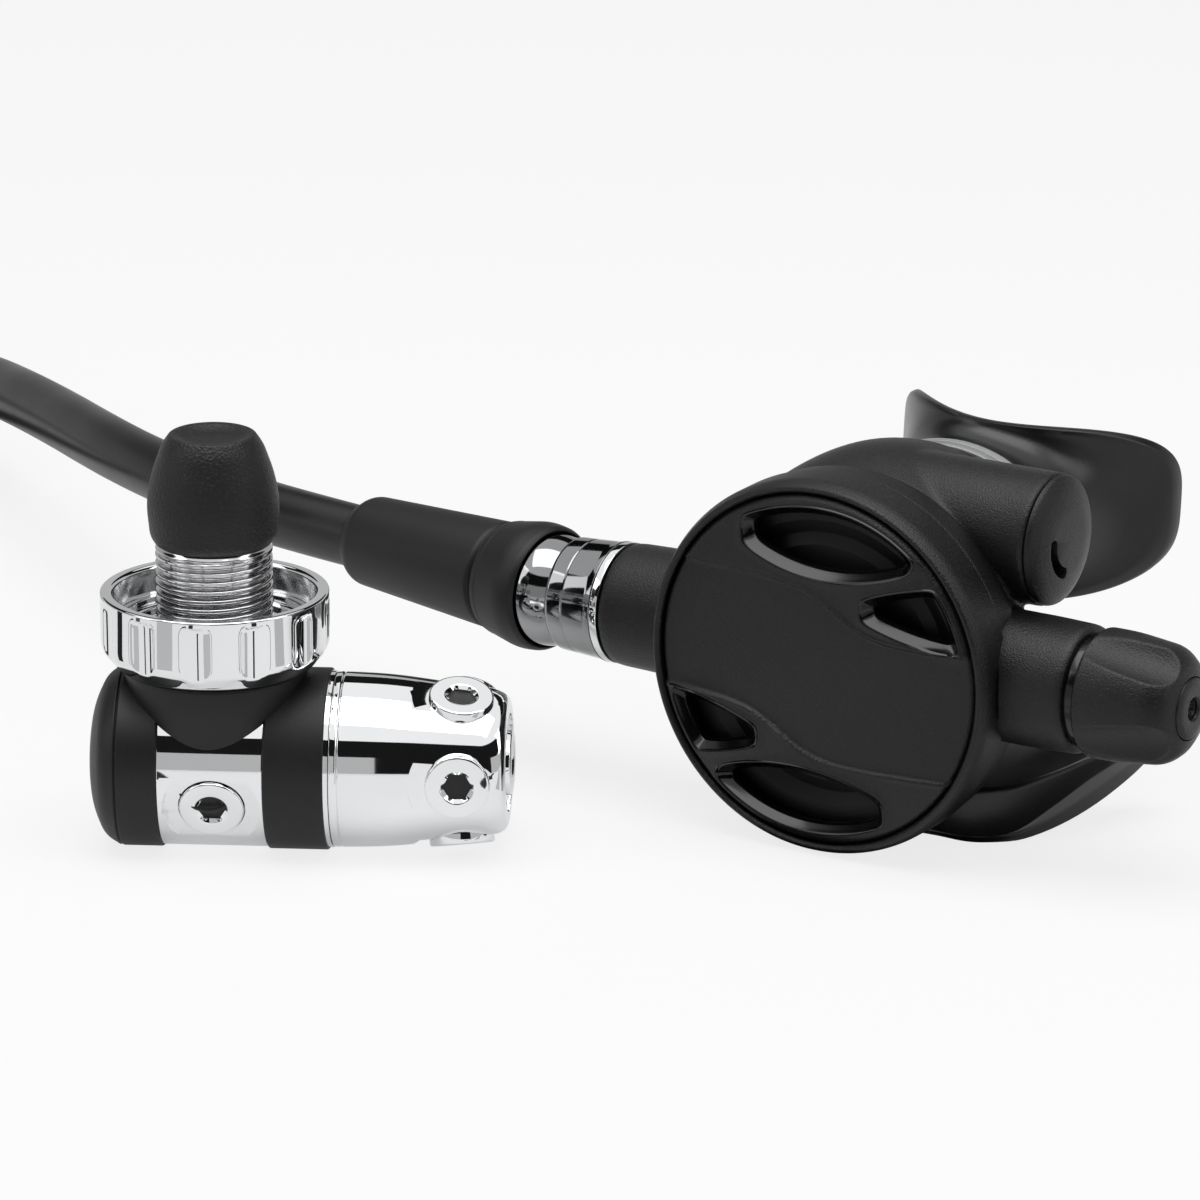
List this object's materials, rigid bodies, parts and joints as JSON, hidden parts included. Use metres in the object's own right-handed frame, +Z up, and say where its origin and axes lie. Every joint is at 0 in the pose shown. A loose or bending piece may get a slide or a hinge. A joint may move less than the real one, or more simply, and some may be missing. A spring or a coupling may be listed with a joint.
{
  "type": "scuba regulator set",
  "caption": "Scuba regulator set: a DIN first stage with swivel turret and handwheel, a round second stage with knob and mouthpiece, and its coiled hose.",
  "frame": {"origin": "on the ground, at the foot of the first stage's DIN axis", "axes": "+Z up along the DIN connection, +X along the second stage's valve barrel towards its knob, +Y behind the second stage's cover"},
  "size_m": [0.5333, 0.2448, 0.0867],
  "materials": {
    "polished_chrome": "polished",
    "dark_chrome": "polished",
    "plated_brass": "satin",
    "brass": "satin",
    "sintered_bronze": "rough",
    "steel": "satin",
    "boot_rubber": "matte",
    "hose_rubber": "semi-gloss",
    "seal_rubber": "matte",
    "silicone": "satin",
    "diaphragm_silicone": "satin",
    "case_plastic": "fine grain",
    "cap_plastic": "coarse grain",
    "gloss_black": "gloss",
    "seat_plastic": "satin",
    "strap_plastic": "satin"
  },
  "bodies": {
    "first_stage": {"first_stage_body": "polished_chrome", "end_boot": "boot_rubber", "seat_retainer": "brass", "piston_seat": "seat_plastic", "stem_oring": "seal_rubber", "ambient_band": "boot_rubber", "piston_cap": "polished_chrome", "turret_clip": "steel", "high_port_plugs": "polished_chrome", "high_plug_orings": "seal_rubber", "din_boot": "boot_rubber", "din_stud": "plated_brass", "din_filter": "sintered_bronze", "din_oring": "seal_rubber", "piston_spring": "steel", "hose": "hose_rubber", "hose_coil": "hose_rubber", "hose_fitting": "plated_brass", "fitting_oring": "seal_rubber", "hose_sleeve": "boot_rubber", "swivel_collar": "boot_rubber", "swivel_socket": "dark_chrome"},
    "piston": {"piston": "steel", "piston_oring": "seal_rubber"},
    "turret": {"turret": "polished_chrome", "low_port_plugs": "polished_chrome", "low_plug_orings": "seal_rubber"},
    "wheel": {"din_thread": "plated_brass", "din_handwheel": "polished_chrome"},
    "cap": {"din_cap": "cap_plastic"},
    "swivel": {"swivel_ball": "dark_chrome", "swivel_body": "dark_chrome", "swivel_ring": "polished_chrome"},
    "second_stage": {"case": "case_plastic", "cover_ring": "case_plastic", "diaphragm": "diaphragm_silicone", "valve_barrel": "plated_brass", "swivel_oring": "seal_rubber", "orifice": "brass", "orifice_oring": "seal_rubber", "poppet_spring": "steel", "knob_gap_ring": "gloss_black", "flow_cap": "case_plastic", "flow_spring": "steel", "exhaust_deflector": "silicone", "mouthpiece": "silicone", "mouthpiece_strap": "strap_plastic"},
    "purge": {"purge_cover": "case_plastic"},
    "plate": {"diaphragm_plate": "steel"},
    "lever": {"demand_lever": "steel"},
    "poppet": {"poppet": "seat_plastic", "poppet_seat": "seal_rubber"},
    "knob": {"knob": "case_plastic", "knob_cap": "case_plastic", "adjusting_screw": "brass"},
    "flow": {"flow_piston": "seat_plastic"},
    "exhaust": {"exhaust_valve": "silicone"}
  },
  "joints": [
    {"name": "wheel_turn", "type": "hinge", "parent": "first_stage", "child": "wheel", "pos_m": [0, 0, 0.045], "axis": [0, 0, 1], "continuous": true},
    {"name": "cap_pull", "type": "slide", "parent": "first_stage", "child": "cap", "axis": [0, 0, 1], "range_m": [0, 0.06]},
    {"name": "turret_swivel", "type": "hinge", "parent": "first_stage", "child": "turret", "pos_m": [0, 0, 0.0173], "axis": [0.8829, 0.4695, 0], "continuous": true},
    {"name": "piston_stroke", "type": "slide", "parent": "first_stage", "child": "piston", "axis": [-0.8829, -0.4695, 0], "range_m": [0, 0.001], "stiffness_N_per_m": 2000, "deforming": ["piston_spring"]},
    {"name": "ball_tilt", "type": "hinge", "parent": "first_stage", "child": "swivel", "pos_m": [0.0321, 0.072, 0.0379], "axis": [0, 0, 1], "range_deg": [-10, 10]},
    {"name": "inlet_turn", "type": "hinge", "parent": "swivel", "child": "second_stage", "pos_m": [0.0321, 0.072, 0.0379], "axis": [1, 0, 0], "continuous": true},
    {"name": "knob_turn", "type": "hinge", "parent": "second_stage", "child": "knob", "pos_m": [0.165, 0.072, 0.0379], "axis": [1, 0, 0], "range_deg": [-360, 360]},
    {"name": "purge_press", "type": "slide", "parent": "second_stage", "child": "purge", "axis": [0, 1, 0], "range_m": [0, 0.0022], "stiffness_N_per_m": 1500, "deforming": ["diaphragm", "poppet_spring"]},
    {"name": "plate_follow", "type": "slide", "parent": "second_stage", "child": "plate", "axis": [0, 1, 0], "range_m": [0, 0.0023]},
    {"name": "lever_rock", "type": "hinge", "parent": "second_stage", "child": "lever", "pos_m": [0.118, 0.0635, 0.0379], "axis": [0, 0, 1], "range_deg": [-8, 0]},
    {"name": "poppet_slide", "type": "slide", "parent": "second_stage", "child": "poppet", "axis": [1, 0, 0], "range_m": [0, 0.001]},
    {"name": "flow_slide", "type": "slide", "parent": "second_stage", "child": "flow", "axis": [-1, 0, 0], "range_m": [0, 0.003], "stiffness_N_per_m": 300, "deforming": ["flow_spring"]},
    {"name": "exhaust_lift", "type": "slide", "parent": "second_stage", "child": "exhaust", "axis": [0, 0, -1], "range_m": [0, 0.001], "stiffness_N_per_m": 300}
  ],
  "couplings": [
    {"joint": "plate_follow", "follows": "purge_press", "ratio": 1},
    {"joint": "lever_rock", "follows": "purge_press", "rad_per_m": -62.5},
    {"joint": "poppet_slide", "follows": "purge_press", "ratio": 0.4}
  ]
}
